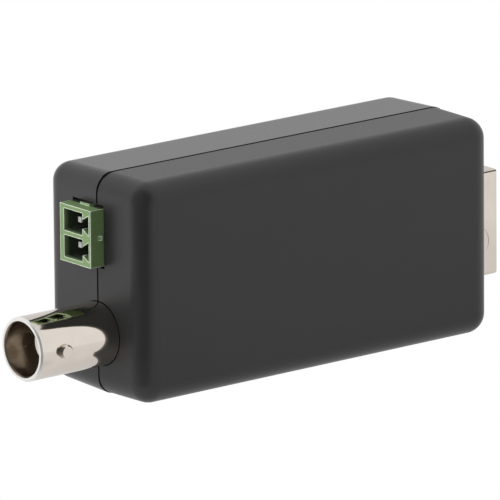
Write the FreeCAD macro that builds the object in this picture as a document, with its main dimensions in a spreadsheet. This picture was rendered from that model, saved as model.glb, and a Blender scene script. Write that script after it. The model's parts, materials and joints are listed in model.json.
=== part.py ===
"""Ethernet over coax extender: a two-shell black case that stands on its narrow side.

Frame: X runs along the case from the coax end (-X) to the network end (+X), Y across it
from the plain near face (-Y) to the screwed rear face (+Y), Z is up. Everything is drawn
with the plane where the shells meet at Y = 0, and at the end each node moves across by
MIDDLE, so that the origin lies under the middle of the extender, at its lowest level.
"""
import FreeCAD, Part
import math
import os

import Sketcher

DOC = FreeCAD.newDocument("extender")
SHEET = DOC.addObject("Spreadsheet::Sheet", "Sizes")

# Driving sizes, in millimetres: alias, value, meaning.
SIZES = [
    ("case_length", 66.8, "case along X"),
    ("case_height", 33.5, "case along Z at the parting plane"),
    ("near_depth", 10.5, "near shell from the parting plane to its face"),
    ("rear_depth", 12.8, "rear shell from the parting plane to its face"),
    ("wall", 2.0, "side and end walls of both shells"),
    ("face_wall", 2.0, "broad walls of both shells"),
    ("near_radius", 3.2, "outer corners and edges of the near shell"),
    ("rear_radius", 2.9, "outer corners and edges of the rear shell"),
    ("near_lean", 0.15, "how far the near shell's sides lean in at its face"),
    ("rear_lean", 0.35, "how far the rear shell's sides lean in at its face"),
    ("shadow_gap", 0.3, "visible line between the shells"),
    ("tongue_thickness", 0.9, "locating lip of the near shell"),
    ("tongue_height", 1.2, "how far the lip enters the rear shell"),
    ("tongue_clearance", 0.1, "side play of the lip in its groove"),
    ("post_radius", 1.6, "cross-ribbed posts that hold the board"),
    ("post_rib", 0.9, "ribs of those posts"),
    ("boss_radius", 2.9, "screw bosses of the rear shell, around the screw heads"),
    ("near_boss_radius", 2.3, "screw bosses of the near shell"),
    ("pilot_depth", 8.5, "screw hole in the near boss"),
    ("boss_inset_x", 6.0, "boss centre from the network end of the case"),
    ("boss_inset_z", 5.2, "boss centres from the long sides"),
    ("post_inset_z", 3.8, "post centres from the long sides"),
    ("inner_boss_x", 22.0, "second boss from the coax end of the case"),
    ("screw_radius", 1.3, "self-tapping screw"),
    ("screw_length", 10.0, "screw below its head"),
    ("screw_head_radius", 2.4, "pan head"),
    ("screw_head_height", 1.7, "pan head"),
    ("screw_recess", 2.4, "head pocket in the rear face"),
    ("screw_play", 0.2, "radial play in rear shell and board"),
    ("thread_play", 0.02, "radial play of the screw in its pilot hole"),
    ("board_face", 5.9, "component face of the board from the parting plane"),
    ("board_thickness", 1.6, "circuit board"),
    ("board_clearance", 0.5, "board edge to case wall"),
    ("board_corner", 1.4, "board corners"),
    ("pin_play", 0.15, "radial play of a lead in its board hole"),
    ("lead_tail", 1.4, "how far leads stand out behind the board"),
    ("coax_share", 0.14, "share of the coax end's free height that lies below the coax block"),
    ("bnc_reach", 14.3, "coax barrel out of the case"),
    ("barrel_radius", 4.8, "outside of the coax barrel"),
    ("bore_radius", 4.06, "inside of the coax barrel"),
    ("bore_depth", 10.5, "mouth to the insulator's seat"),
    ("rim_chamfer", 0.3, "edges of the barrel's mouth"),
    ("barrel_hole_play", 0.1, "barrel in the case"),
    ("stud_radius", 1.05, "bayonet studs"),
    ("stud_tip", 5.6, "stud tips from the axis"),
    ("stud_chamfer", 0.18, "edge of the stud tips"),
    ("stud_setback", 4.2, "studs behind the mouth"),
    ("press_play", 0.02, "parts pressed into each other"),
    ("block_length", 13.0, "square rear block of the coax socket"),
    ("block_width", 13.0, "square rear block along Z"),
    ("block_top", 6.0, "block from the axis to its near side"),
    ("block_gap", 0.2, "block to the case's end wall"),
    ("seat_radius", 3.4, "bore through the block"),
    ("nose_radius", 2.4, "insulator nose around the contact"),
    ("nose_setback", 4.3, "insulator nose behind the mouth"),
    ("collar_length", 2.0, "insulator collar on its seat"),
    ("contact_radius", 1.1, "coax centre contact"),
    ("contact_bore", 0.7, "socket in the centre contact"),
    ("contact_bore_depth", 5.0, "socket in the centre contact"),
    ("contact_recess", 0.2, "contact behind the insulator nose"),
    ("contact_slot", 0.3, "spring slot of the centre contact"),
    ("tail_radius", 0.5, "signal tail of the coax socket"),
    ("leg_width", 1.0, "square corner legs of the coax socket"),
    ("tail_inset", 4.0, "signal tail from the rear of the block"),
    ("leg_inset", 1.5, "corner legs from the sides of the block"),
    ("cap_thickness", 1.2, "cap at the rear of the block"),
    ("term_share", 0.366, "share of the coax end's free height that lies above the header"),
    ("term_width", 8.65, "header along Z"),
    ("term_height", 7.2, "header above the board"),
    ("term_depth", 9.2, "header along X"),
    ("term_reach", 2.35, "header out of the case"),
    ("term_wall", 0.65, "header end walls and partition"),
    ("term_floor", 0.9, "header wall on the board side"),
    ("term_lip", 0.45, "header wall on the near side"),
    ("term_cell_depth", 7.6, "header sockets"),
    ("term_tooth_setback", 1.45, "keying teeth from the near wall"),
    ("term_tooth", 1.0, "keying teeth at their root"),
    ("term_tooth_tip", 0.15, "keying teeth at the near wall"),
    ("term_pitch", 3.81, "pin pitch of the header"),
    ("term_pin", 0.8, "square header pins"),
    ("term_pin_rise", 2.5, "header pins above the board"),
    ("term_rail_height", 0.3, "keying rail on top of the header"),
    ("term_rail_width", 2.2, "keying rail on top of the header"),
    ("term_rail_setback", 1.8, "keying rail behind the header's mouth"),
    ("term_nose_height", 0.25, "snap nose on the near side of the header"),
    ("term_pin_setback", 1.7, "pin tips behind the header's mouth"),
    ("term_window_play", 0.45, "case window above and below the header"),
    ("term_side_play", 0.15, "case window beside the header"),
    ("jack_share", 0.67, "share of the network end's free height that lies below the jack"),
    ("jack_width", 16.2, "jack along Z"),
    ("jack_height", 13.7, "jack above the board"),
    ("jack_depth", 21.3, "jack along X"),
    ("jack_reach", 3.15, "jack out of the case"),
    ("jack_window_play", 0.4, "case window around the jack"),
    ("sheet_thickness", 0.3, "jack shield"),
    ("shield_bend", 0.45, "outside bends of the jack shield"),
    ("finger_width", 5.0, "grounding finger of the shield"),
    ("finger_length", 6.0, "grounding finger of the shield"),
    ("finger_setback", 1.85, "finger end behind the jack's mouth"),
    ("finger_slot", 0.07, "slot around the finger"),
    ("finger_bow", 0.25, "finger stands proud of the shield"),
    ("finger_drop", 2.75, "finger centre below the middle of the jack"),
    ("insert_play", 0.05, "jack insert in its shield"),
    ("insert_depth", 14.5, "jack insert along X"),
    ("port_width", 11.9, "plug opening along Z"),
    ("port_floor", 4.0, "plug opening above the board"),
    ("port_height", 6.9, "plug opening"),
    ("port_depth", 14.0, "plug opening along X"),
    ("latch_width", 6.6, "wide latch recess"),
    ("latch_drop", 1.0, "wide latch recess below the opening"),
    ("latch_notch_width", 3.6, "narrow latch recess"),
    ("latch_notch_drop", 2.8, "narrow latch recess below the opening"),
    ("wire", 0.35, "square jack contact wire"),
    ("wire_play", 0.06, "contact wire in its grooves"),
    ("wire_pitch", 1.02, "contact pitch"),
    ("wire_level", 12.0, "contact wires above the board"),
    ("wire_tip_level", 8.8, "contact tips above the board"),
    ("wire_tip_setback", 9.2, "contact tips behind the mouth"),
    ("wire_front", 1.6, "front bend of the contacts behind the mouth"),
    ("comb_length", 10.5, "open comb slots of the insert"),
    ("tail_row", 16.3, "first row of contact tails behind the mouth"),
    ("tail_row_step", 2.54, "second row behind the first"),
    ("peg_radius", 1.6, "plastic pegs of the jack"),
    ("peg_setback", 9.5, "pegs behind the mouth"),
    ("peg_spacing", 11.43, "distance between the pegs"),
    ("shield_tab_setback", 13.5, "solder tabs of the shield behind the mouth"),
    ("shield_tab_width", 1.4, "solder tabs of the shield"),
    ("lead_reach", 1.1, "chip leads beyond the chip"),
    ("lead_knee", 0.4, "straight shoulder of a chip lead"),
    ("lead_thickness", 0.18, "chip leads"),
    ("chip_standoff", 0.1, "chips above the board"),
    ("part_gap", 0.8, "free board between neighbouring parts"),
    ("can_shoulder", 0.3, "rounded-off top of a capacitor can"),
    ("can_base", 1.0, "plastic base of a capacitor can"),
    ("can_margin", 0.15, "base beyond the can"),
    ("input_capacitor_radius", 3.15, "power input capacitor"),
    ("input_capacitor_height", 5.8, "power input capacitor"),
    ("output_capacitor_radius", 2.5, "logic supply capacitor"),
    ("output_capacitor_height", 5.4, "logic supply capacitor"),
    ("inductor_side", 6.0, "shielded power inductor"),
    ("inductor_height", 3.0, "shielded power inductor"),
    ("inductor_ring", 2.3, "ring groove in the inductor"),
    ("inductor_groove", 0.35, "width and depth of that groove"),
    ("arrester_radius", 2.0, "gas surge arrester at the coax socket"),
    ("arrester_length", 5.0, "gas surge arrester"),
    ("arrester_cap", 0.8, "end electrodes of the arrester"),
    ("arrester_waist", 0.25, "ceramic tube below the electrodes"),
    ("clock_length", 11.3, "upright clock crystal"),
    ("clock_width", 4.6, "upright clock crystal"),
    ("clock_height", 3.4, "upright clock crystal"),
    ("clock_flange", 0.4, "rolled flange of the crystal"),
    ("modem_chip_side", 9.0, "leadless modem chip"),
    ("modem_chip_height", 0.9, "leadless modem chip"),
    ("network_chip_side", 5.0, "leadless network chip"),
    ("network_chip_height", 0.9, "leadless network chip"),
    ("modem_crystal_length", 5.0, "flat modem crystal"),
    ("modem_crystal_width", 3.2, "flat modem crystal"),
    ("modem_crystal_height", 1.2, "flat modem crystal"),
    ("fuse_length", 3.2, "power input fuse"),
    ("fuse_width", 1.6, "power input fuse"),
    ("fuse_height", 0.9, "power input fuse"),
    ("small_length", 1.6, "small capacitors and resistors"),
    ("small_width", 0.8, "small capacitors and resistors"),
    ("small_capacitor_height", 0.8, "small capacitors"),
    ("small_resistor_height", 0.45, "small resistors"),
    ("small_pitch", 1.6, "distance between small parts in a row"),
    ("small_cap", 0.35, "metal ends of small parts"),
]

# Chips with leads: name, along X, along Z, height, lead pitch, lead width.
CHIPS = [
    ("ethernet_transformer", 7.1, 12.7, 5.9, 1.27, 0.45),
    ("coax_transformer", 6.0, 6.0, 5.0, 2.0, 0.6),
    ("memory_chip", 4.9, 3.9, 1.5, 1.27, 0.42),
    ("converter_chip", 2.9, 1.6, 1.1, 0.95, 0.38),
    ("input_diode", 4.3, 2.6, 2.2, 1.0, 1.4),
]
for chip, *numbers in CHIPS:
    for part, number in zip(("length", "width", "height", "pitch", "lead"), numbers):
        SIZES.append((f"{chip}_{part}", number, f"{part} of the {chip.replace('_', ' ')}"))


class Size:
    """A length that knows its number and the sheet expression that gives it."""

    def __init__(self, value, text):
        self.value = float(value)
        self.text = text

    def _join(self, other, sign, value):
        return Size(value, f"({self.text} {sign} {size(other).text})")

    def __add__(self, other):
        return self._join(other, "+", self.value + size(other).value)

    def __sub__(self, other):
        return self._join(other, "-", self.value - size(other).value)

    def __mul__(self, factor):
        return self._join(factor, "*", self.value * size(factor).value)

    def __truediv__(self, divisor):
        return self._join(divisor, "/", self.value / size(divisor).value)

    def __radd__(self, other):
        return size(other) + self

    def __rsub__(self, other):
        return size(other) - self

    def __neg__(self):
        return Size(-self.value, f"(-1 * {self.text})")


def size(value):
    return value if isinstance(value, Size) else Size(value, repr(float(value)))


def read_sizes():
    """Fills the sheet and returns each size under its alias."""
    for row, (alias, value, meaning) in enumerate(SIZES, 1):
        SHEET.set(f"A{row}", alias)
        SHEET.set(f"B{row}", str(value))
        SHEET.set(f"C{row}", meaning)
        SHEET.setAlias(f"B{row}", alias)
    DOC.recompute()
    return {alias: Size(SHEET.get(alias), f"Sizes.{alias}") for alias, _, _ in SIZES}


S = read_sizes()


class Names:
    """The sizes as attributes, so that formulas read plainly."""


d = Names()
d.__dict__.update(S)

# Places that follow from the sizes.
MIDDLE = (d.near_depth - d.rear_depth) / 2
WHOLE_LENGTH = d.bnc_reach + d.case_length + d.jack_reach
CASE_START = d.bnc_reach - WHOLE_LENGTH / 2
CASE_END = CASE_START + d.case_length
BOARD_REAR = d.board_face + d.board_thickness
TAIL_END = BOARD_REAR + d.lead_tail
CAVITY_NEAR = d.near_depth - d.face_wall
CAVITY_REAR = d.rear_depth - d.face_wall
BARREL_MOUTH = CASE_START - d.bnc_reach
BLOCK_START = CASE_START + d.wall + d.block_gap
BLOCK_END = BLOCK_START + d.block_length
SIGNAL_TAIL_X = BLOCK_END - d.tail_inset
TERM_FRONT = CASE_START - d.term_reach
TERM_NEAR = d.board_face - d.term_height
JACK_MOUTH = CASE_END + d.jack_reach
JACK_NEAR = d.board_face - d.jack_height
COAX_END_ROOM = d.case_height - d.wall * 2 - d.block_width - d.term_width
COAX_Z = d.wall + COAX_END_ROOM * d.coax_share + d.block_width / 2
TERM_Z = d.case_height - d.wall - COAX_END_ROOM * d.term_share - d.term_width / 2
POST_TOP = d.post_inset_z + d.post_radius
BOSS_BOTTOM = d.case_height - d.boss_inset_z - d.near_boss_radius
JACK_Z = POST_TOP + (BOSS_BOTTOM - POST_TOP - d.jack_width) * d.jack_share + d.jack_width / 2
BOSSES = [
    (CASE_END - d.boss_inset_x, d.case_height - d.boss_inset_z),
    (CASE_START + d.inner_boss_x, d.boss_inset_z),
]
POSTS = [
    (CASE_END - d.boss_inset_x, d.post_inset_z),
    (CASE_START + d.inner_boss_x, d.case_height - d.post_inset_z),
]
# Cutters stand clear of the part by CLEAR, and joined shapes enter each other by OVERLAP.
CLEAR = 1.0
OVERLAP = 0.5
# Half the diagonal of a square lead, for the round hole around it.
DIAGONAL = 0.71
LEG_COLUMNS = [BLOCK_START + d.leg_inset, BLOCK_END - d.leg_inset]
LEG_SPREAD = d.block_width / 2 - d.leg_inset
LEG_ROWS = [COAX_Z - LEG_SPREAD, COAX_Z + LEG_SPREAD]
TERM_PINS = [TERM_Z - d.term_pitch / 2, TERM_Z + d.term_pitch / 2]
WIRE_COUNT = 8


def bind(thing, prop, value):
    thing.setExpression(prop, size(value).text)


class Piece:
    """One PartDesign body, built from sketches on its own origin planes."""

    def __init__(self, label):
        self.body = DOC.addObject("PartDesign::Body", label)
        self.body.Label = label
        self.count = 0

    def sketch(self, plane, offset):
        """A sketch on plane XY, XZ or YZ, moved along +Z, +Y or +X by offset."""
        self.count += 1
        made = self.body.newObject("Sketcher::SketchObject", f"Sketch{self.count}")
        origin = [f for f in self.body.Origin.OriginFeatures if f.Role == f"{plane}_Plane"]
        made.AttachmentSupport = (origin[0], [""])
        made.MapMode = "FlatFace"
        bind(made, "AttachmentOffset.Base.z", -size(offset) if plane == "XZ" else offset)
        return made

    def feature(self, kind, sketch, **props):
        made = self.body.newObject(f"PartDesign::{kind}", kind)
        made.Profile = sketch
        for name, value in props.items():
            if isinstance(value, Size):
                bind(made, name, value)
            else:
                setattr(made, name, value)
        DOC.recompute()
        return made

    def pad(self, sketch, length, towards_minus=False):
        """Adds material from the sketch towards +, or towards - when asked."""
        reversed_plane = sketch.AttachmentSupport[0][0].Role == "XZ_Plane"
        reverse = towards_minus != reversed_plane
        return self.feature("Pad", sketch, Length=size(length), Reversed=reverse)

    def leaning_block(self, y_low, inset_low, y_high, inset_high):
        """The outline of the case between two levels, inset by a different amount at each."""
        made = self.body.newObject("PartDesign::AdditiveWedge", "LeaningBlock")
        bind(made, "Ymin", y_low)
        bind(made, "Ymax", y_high)
        for prefix, inset in (("", inset_low), ("2", inset_high)):
            bind(made, f"X{prefix}min", CASE_START + inset)
            bind(made, f"X{prefix}max", CASE_END - inset)
            bind(made, f"Z{prefix}min", size(inset))
            bind(made, f"Z{prefix}max", d.case_height - inset)
        DOC.recompute()

    def pocket(self, sketch, length, towards_minus=False):
        """Removes material from the sketch towards +, or towards - when asked."""
        reversed_plane = sketch.AttachmentSupport[0][0].Role == "XZ_Plane"
        before = self.body.Shape.Volume
        made = self.feature(
            "Pocket", sketch, Length=size(length), Reversed=towards_minus == reversed_plane
        )
        if self.body.Shape.Volume >= before - 1e-6:
            raise RuntimeError(f"a pocket of {self.body.Label} cuts nothing")
        return made

    def revolve(self, sketch, axis="H_Axis"):
        """Turns the sketch about its own horizontal or vertical axis."""
        made = self.feature("Revolution", sketch, Angle=360.0)
        made.ReferenceAxis = (sketch, [axis])
        DOC.recompute()
        return made

    def repeat(self, feature, sketch, length, count, axis="N_Axis"):
        """Repeats a feature along the normal or another axis of its sketch."""
        made = self.body.newObject("PartDesign::LinearPattern", "Row")
        made.Originals = [feature]
        made.Direction = (sketch, [axis])
        bind(made, "Length", length)
        made.Occurrences = count
        self.body.Tip = made
        DOC.recompute()

    def fillet(self, radius, choose):
        return self._soften("Fillet", "Radius", radius, choose)

    def chamfer(self, width, choose):
        return self._soften("Chamfer", "Size", width, choose)

    def _soften(self, kind, prop, amount, choose):
        tip = self.body.Tip
        names = [f"Edge{i}" for i, e in enumerate(tip.Shape.Edges, 1) if choose(e)]
        if not names:
            raise RuntimeError(f"{self.body.Label} has no edge to soften")
        made = self.body.newObject(f"PartDesign::{kind}", kind)
        made.Base = (tip, names)
        bind(made, prop, amount)
        DOC.recompute()
        return made


def outline(sketch, points):
    """A closed run of straight lines, each corner held by its two coordinates."""
    start = sketch.GeometryCount
    count = len(points)
    corners = [FreeCAD.Vector(size(x).value, size(y).value, 0) for x, y in points]
    for i in range(count):
        sketch.addGeometry(Part.LineSegment(corners[i], corners[(i + 1) % count]), False)
    for i in range(count):
        end = start + (i + 1) % count
        sketch.addConstraint(Sketcher.Constraint("Coincident", start + i, 2, end, 1))
    for i, (x, y) in enumerate(points):
        hold(sketch, "DistanceX", start + i, 1, x)
        hold(sketch, "DistanceY", start + i, 1, y)


def hold(sketch, kind, geometry, end, value):
    value = size(value)
    rule = Sketcher.Constraint(kind, -1, 1, geometry, end, value.value)
    number = sketch.addConstraint(rule)
    sketch.setExpression(f"Constraints[{number}]", value.text)


def rectangle(sketch, x0, y0, x1, y1):
    outline(sketch, [(x0, y0), (x1, y0), (x1, y1), (x0, y1)])


def circle(sketch, x, y, radius):
    centre = FreeCAD.Vector(size(x).value, size(y).value, 0)
    ring = Part.Circle(centre, FreeCAD.Vector(0, 0, 1), size(radius).value)
    number = sketch.addGeometry(ring, False)
    rule = sketch.addConstraint(Sketcher.Constraint("Radius", number, size(radius).value))
    sketch.setExpression(f"Constraints[{rule}]", size(radius).text)
    hold(sketch, "DistanceX", number, 3, x)
    hold(sketch, "DistanceY", number, 3, y)


def drill_row(piece, x, z, radius, pitch=None, count=1):
    """Lead holes in a row along Z, drawn eight-sided because there are many of them."""
    reach = radius / math.cos(math.pi / 8)
    turns = [math.pi / 8 * (2 * i + 1) for i in range(8)]
    first = piece.sketch("XZ", d.board_face)
    outline(first, [(x + reach * math.cos(turn), z + reach * math.sin(turn)) for turn in turns])
    hole = piece.pocket(first, d.board_thickness)
    if count > 1:
        piece.repeat(hole, first, pitch * (count - 1), count, "V_Axis")


def along(edge, axis, steepness=0.99):
    """Whether an edge is straight and runs along an axis, as far as a draft allows."""
    if len(edge.Vertexes) != 2:
        return False
    chord = edge.Vertexes[1].Point - edge.Vertexes[0].Point
    return edge.Length < chord.Length * 1.001 and abs(chord.dot(axis)) > steepness * chord.Length


def level(edge, axis, value, slack=0.01):
    """Whether an edge lies wholly at one coordinate."""
    box = edge.BoundBox
    low, high = {"x": (box.XMin, box.XMax), "y": (box.YMin, box.YMax), "z": (box.ZMin, box.ZMax)}[axis]
    return abs(low - value) < slack and abs(high - value) < slack


X_AXIS = FreeCAD.Vector(1, 0, 0)
Y_AXIS = FreeCAD.Vector(0, 1, 0)
Z_AXIS = FreeCAD.Vector(0, 0, 1)
TURNS = {
    "X": FreeCAD.Rotation(Y_AXIS, 90),
    "Y": FreeCAD.Rotation(X_AXIS, -90),
    "Z": FreeCAD.Rotation(),
}


def place(made, x, y, z, turn=None):
    if turn is not None:
        made.Placement = FreeCAD.Placement(FreeCAD.Vector(), turn)
    bind(made, "Placement.Base.x", x)
    bind(made, "Placement.Base.y", y)
    bind(made, "Placement.Base.z", z)
    return made


def block(label, low, high):
    """A box between two corners."""
    made = DOC.addObject("Part::Box", label)
    for prop, a, b in zip(("Length", "Width", "Height"), low, high):
        bind(made, prop, size(b) - a)
    return place(made, *low)


def rod(label, axis, start, radius, length):
    """A cylinder that starts at a point and runs towards +axis."""
    made = DOC.addObject("Part::Cylinder", label)
    bind(made, "Radius", radius)
    bind(made, "Height", length)
    return place(made, *start, TURNS[axis])


def joined(label, parts):
    made = DOC.addObject("Part::MultiFuse", label)
    made.Shapes = parts
    return made


def without(label, base, tools):
    made = DOC.addObject("Part::Cut", label)
    made.Base = base
    made.Tool = tools[0] if len(tools) == 1 else joined(label + "_tools", tools)
    return made


def shared(label, parts):
    made = DOC.addObject("Part::MultiCommon", label)
    made.Shapes = parts
    return made


def shell_inset(sketch, inset):
    rectangle(
        sketch,
        CASE_START + inset,
        size(0) + inset,
        CASE_END - inset,
        d.case_height - inset,
    )


def stands(piece, start, length, boss_radius):
    """Round screw bosses and cross-ribbed posts that grip the board, grown towards +Y."""
    bosses = piece.sketch("XZ", start)
    for x, z in BOSSES:
        circle(bosses, x, z, boss_radius)
    piece.pad(bosses, length)
    ribs = piece.sketch("XZ", start)
    reach, half = d.post_radius, d.post_rib / 2
    for x, z in POSTS:
        steps = [(-reach, -half), (-half, -half), (-half, -reach)]
        steps += [(half, -reach), (half, -half), (reach, -half)]
        cross = steps + [(-a, -b) for a, b in steps]
        outline(ribs, [(x + a, z + b) for a, b in cross])
    piece.pad(ribs, length)


def end_windows(piece):
    """Openings in the end walls for the coax barrel, the header and the jack."""
    depth = d.wall + CLEAR * 2
    hole = piece.sketch("YZ", CASE_START - CLEAR)
    circle(hole, 0, COAX_Z, d.barrel_radius + d.barrel_hole_play)
    piece.pocket(hole, depth)
    half = d.term_width / 2 + d.term_window_play
    slot = piece.sketch("YZ", CASE_START - CLEAR)
    rectangle(
        slot,
        TERM_NEAR - d.term_side_play,
        TERM_Z - half,
        d.board_face + d.term_side_play,
        TERM_Z + half,
    )
    piece.pocket(slot, depth)
    half = d.jack_width / 2 + d.jack_window_play
    port = piece.sketch("YZ", CASE_END + CLEAR)
    rectangle(
        port,
        JACK_NEAR - d.jack_window_play,
        JACK_Z - half,
        d.board_face + d.jack_window_play,
        JACK_Z + half,
    )
    piece.pocket(port, depth, towards_minus=True)


def make_near_cover():
    piece = Piece("near_cover")
    piece.leaning_block(-d.near_depth, d.near_lean, size(0), size(0))
    face = -d.near_depth.value
    piece.fillet(d.near_radius, lambda e: along(e, Y_AXIS, 0.95) or level(e, "y", face))
    hollow = piece.sketch("XZ", 0)
    shell_inset(hollow, d.wall)
    piece.pocket(hollow, CAVITY_NEAR, towards_minus=True)
    low, high = CASE_START.value + d.wall.value, CASE_END.value - d.wall.value
    inner = lambda e: along(e, Y_AXIS) and (level(e, "x", low) or level(e, "x", high))
    piece.fillet(d.near_radius - d.wall, inner)
    lip = piece.sketch("XZ", -OVERLAP)
    shell_inset(lip, d.wall - d.tongue_thickness)
    shell_inset(lip, d.wall)
    piece.pad(lip, d.tongue_height + OVERLAP)
    end_windows(piece)
    stands(piece, -CAVITY_NEAR - OVERLAP, CAVITY_NEAR + OVERLAP + d.board_face, d.near_boss_radius)
    pilot = piece.sketch("XZ", d.board_face)
    for x, z in BOSSES:
        circle(pilot, x, z, d.screw_radius + d.thread_play)
    piece.pocket(pilot, d.pilot_depth, towards_minus=True)


def make_rear_cover():
    piece = Piece("rear_cover")
    piece.leaning_block(d.shadow_gap, size(0), d.rear_depth, d.rear_lean)
    face = d.rear_depth.value
    piece.fillet(d.rear_radius, lambda e: along(e, Y_AXIS, 0.95) or level(e, "y", face))
    hollow = piece.sketch("XZ", d.shadow_gap)
    shell_inset(hollow, d.wall)
    piece.pocket(hollow, CAVITY_REAR - d.shadow_gap)
    low, high = CASE_START.value + d.wall.value, CASE_END.value - d.wall.value
    inner = lambda e: along(e, Y_AXIS) and (level(e, "x", low) or level(e, "x", high))
    piece.fillet(d.rear_radius - d.wall, inner)
    groove = piece.sketch("XZ", d.shadow_gap)
    shell_inset(groove, d.wall - d.tongue_thickness - d.tongue_clearance)
    piece.pocket(groove, d.tongue_height - d.shadow_gap)
    end_windows(piece)
    stands(piece, BOARD_REAR, CAVITY_REAR + OVERLAP - BOARD_REAR, d.boss_radius)
    recess = piece.sketch("XZ", d.rear_depth)
    for x, z in BOSSES:
        circle(recess, x, z, d.screw_head_radius + d.screw_play)
    piece.pocket(recess, d.screw_recess, towards_minus=True)
    hole = piece.sketch("XZ", d.rear_depth)
    for x, z in BOSSES:
        circle(hole, x, z, d.screw_radius + d.screw_play)
    piece.pocket(hole, d.rear_depth - BOARD_REAR + CLEAR, towards_minus=True)


def make_case_screws():
    """Two pan-head self-tapping screws with a cross recess, driven from the rear face."""
    seat = d.rear_depth - d.screw_recess
    screws = []
    for number, (x, z) in enumerate(BOSSES, 1):
        name = f"screw_{number}"
        head = rod(f"{name}_head", "Y", (x, seat, z), d.screw_head_radius, d.screw_head_height)
        shank = rod(
            f"{name}_shank", "Y", (x, seat - d.screw_length, z), d.screw_radius, d.screw_length + 0.1
        )
        arm = d.screw_head_radius * 0.55
        half = d.screw_radius * 0.22
        depth = seat + d.screw_head_height * 0.4
        top = seat + d.screw_head_height + CLEAR
        slots = [
            block(f"{name}_slot_x", (x - arm, depth, z - half), (x + arm, top, z + half)),
            block(f"{name}_slot_z", (x - half, depth, z - arm), (x + half, top, z + arm)),
        ]
        screws.append(without(name, joined(f"{name}_blank", [head, shank]), slots))
    return joined_apart("case_screws", screws)


def joined_apart(label, parts):
    """Separate solids that share one node."""
    made = DOC.addObject("Part::Compound", label)
    made.Links = parts
    made.Label = label
    return made


def make_circuit_board():
    piece = Piece("circuit_board")
    inset = d.wall + d.board_clearance
    blank = piece.sketch("XZ", d.board_face)
    shell_inset(blank, inset)
    piece.pad(blank, d.board_thickness)
    piece.fillet(d.board_corner, lambda e: along(e, Y_AXIS))
    holes = piece.sketch("XZ", d.board_face)
    for x, z in BOSSES:
        circle(holes, x, z, d.screw_radius + d.screw_play)
    for side in (-1, 1):
        z = JACK_Z + d.peg_spacing / 2 * side
        circle(holes, JACK_MOUTH - d.peg_setback, z, d.peg_radius + d.pin_play)
    piece.pocket(holes, d.board_thickness)
    for x in LEG_COLUMNS:
        drill_row(piece, x, LEG_ROWS[0], d.leg_width * DIAGONAL + d.pin_play, LEG_ROWS[1] - LEG_ROWS[0], 2)
    drill_row(piece, SIGNAL_TAIL_X, COAX_Z, d.tail_radius + d.pin_play)
    drill_row(piece, term_tail_x(), TERM_PINS[0], d.term_pin * DIAGONAL + d.pin_play, d.term_pitch, 2)
    for number in (0, 1):
        x, z = wire_tail_x(number), wire_z(number)
        drill_row(piece, x, z, d.wire * DIAGONAL + d.pin_play / 2, d.wire_pitch * 2, WIRE_COUNT // 2)
    low, high = shield_tab_places()
    tab_x = JACK_MOUTH - d.shield_tab_setback
    drill_row(piece, tab_x, low, d.shield_tab_width / 2 + d.pin_play, high - low, 2)


def term_tail_x():
    return TERM_FRONT + d.term_depth + d.term_pin


def wire_tail_x(number):
    step = d.tail_row_step if number % 2 else size(0)
    return JACK_MOUTH - d.tail_row - step


def wire_z(number):
    return JACK_Z + d.wire_pitch * (number - (WIRE_COUNT - 1) / 2)


def shield_tab_places():
    half = d.jack_width / 2 - d.sheet_thickness / 2
    return [JACK_Z - half, JACK_Z + half]


def make_bnc_body():
    """Die-cast coax socket: turned barrel, square block and four corner legs."""
    piece = Piece("bnc_body")
    profile = piece.sketch("XY", COAX_Z)
    mouth, bore, outer = BARREL_MOUTH, d.bore_radius, d.barrel_radius
    chamfer = d.rim_chamfer
    inner_end = BLOCK_START + OVERLAP
    outline(
        profile,
        [
            (mouth, bore + chamfer * 0.6),
            (mouth, outer - chamfer * 0.6),
            (mouth + chamfer, outer),
            (inner_end, outer),
            (inner_end, d.seat_radius),
            (mouth + d.bore_depth, d.seat_radius),
            (mouth + d.bore_depth, bore),
            (mouth + chamfer, bore),
        ],
    )
    piece.revolve(profile)
    half = d.block_width / 2
    base = piece.sketch("YZ", BLOCK_START)
    rectangle(base, -d.block_top, COAX_Z - half, d.board_face, COAX_Z + half)
    piece.pad(base, d.block_length)
    soft = lambda e: along(e, X_AXIS) and level(e, "y", -d.block_top.value)
    piece.fillet(d.rim_chamfer * 4, soft)
    bore_through = piece.sketch("YZ", BLOCK_START - OVERLAP)
    circle(bore_through, 0, COAX_Z, d.seat_radius)
    piece.pocket(bore_through, d.block_length + CLEAR)
    drop = piece.sketch("XZ", 0)
    circle(drop, SIGNAL_TAIL_X, COAX_Z, d.contact_radius + d.contact_recess)
    piece.pocket(drop, d.board_face)
    legs = piece.sketch("XZ", d.board_face - OVERLAP)
    reach = d.leg_width / 2
    for x in LEG_COLUMNS:
        for z in LEG_ROWS:
            rectangle(legs, x - reach, z - reach, x + reach, z + reach)
    piece.pad(legs, TAIL_END - d.board_face + OVERLAP)
    studs = piece.sketch("XZ", -d.barrel_radius - CLEAR)
    circle(studs, mouth + d.stud_setback, COAX_Z, d.stud_radius + d.press_play)
    piece.pocket(studs, (d.barrel_radius + CLEAR) * 2)


def make_bayonet_studs():
    """Two studs pressed into the barrel, on its horizontal diameter."""
    foot = d.bore_radius + d.press_play
    shoulder = d.stud_tip - d.stud_chamfer
    x = BARREL_MOUTH + d.stud_setback
    studs = []
    for name, turn, side in (("near_stud", 90, -1), ("rear_stud", -90, 1)):
        rotation = FreeCAD.Rotation(X_AXIS, turn)
        pin = DOC.addObject("Part::Cylinder", f"{name}_pin")
        bind(pin, "Radius", d.stud_radius)
        bind(pin, "Height", shoulder - foot)
        place(pin, x, foot * side, COAX_Z, rotation)
        edge = DOC.addObject("Part::Cone", f"{name}_edge")
        bind(edge, "Radius1", d.stud_radius)
        bind(edge, "Radius2", d.stud_radius - d.stud_chamfer)
        bind(edge, "Height", d.stud_chamfer)
        place(edge, x, shoulder * side, COAX_Z, rotation)
        studs.append(joined(name, [pin, edge]))
    return joined_apart("bayonet_studs", studs)


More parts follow.
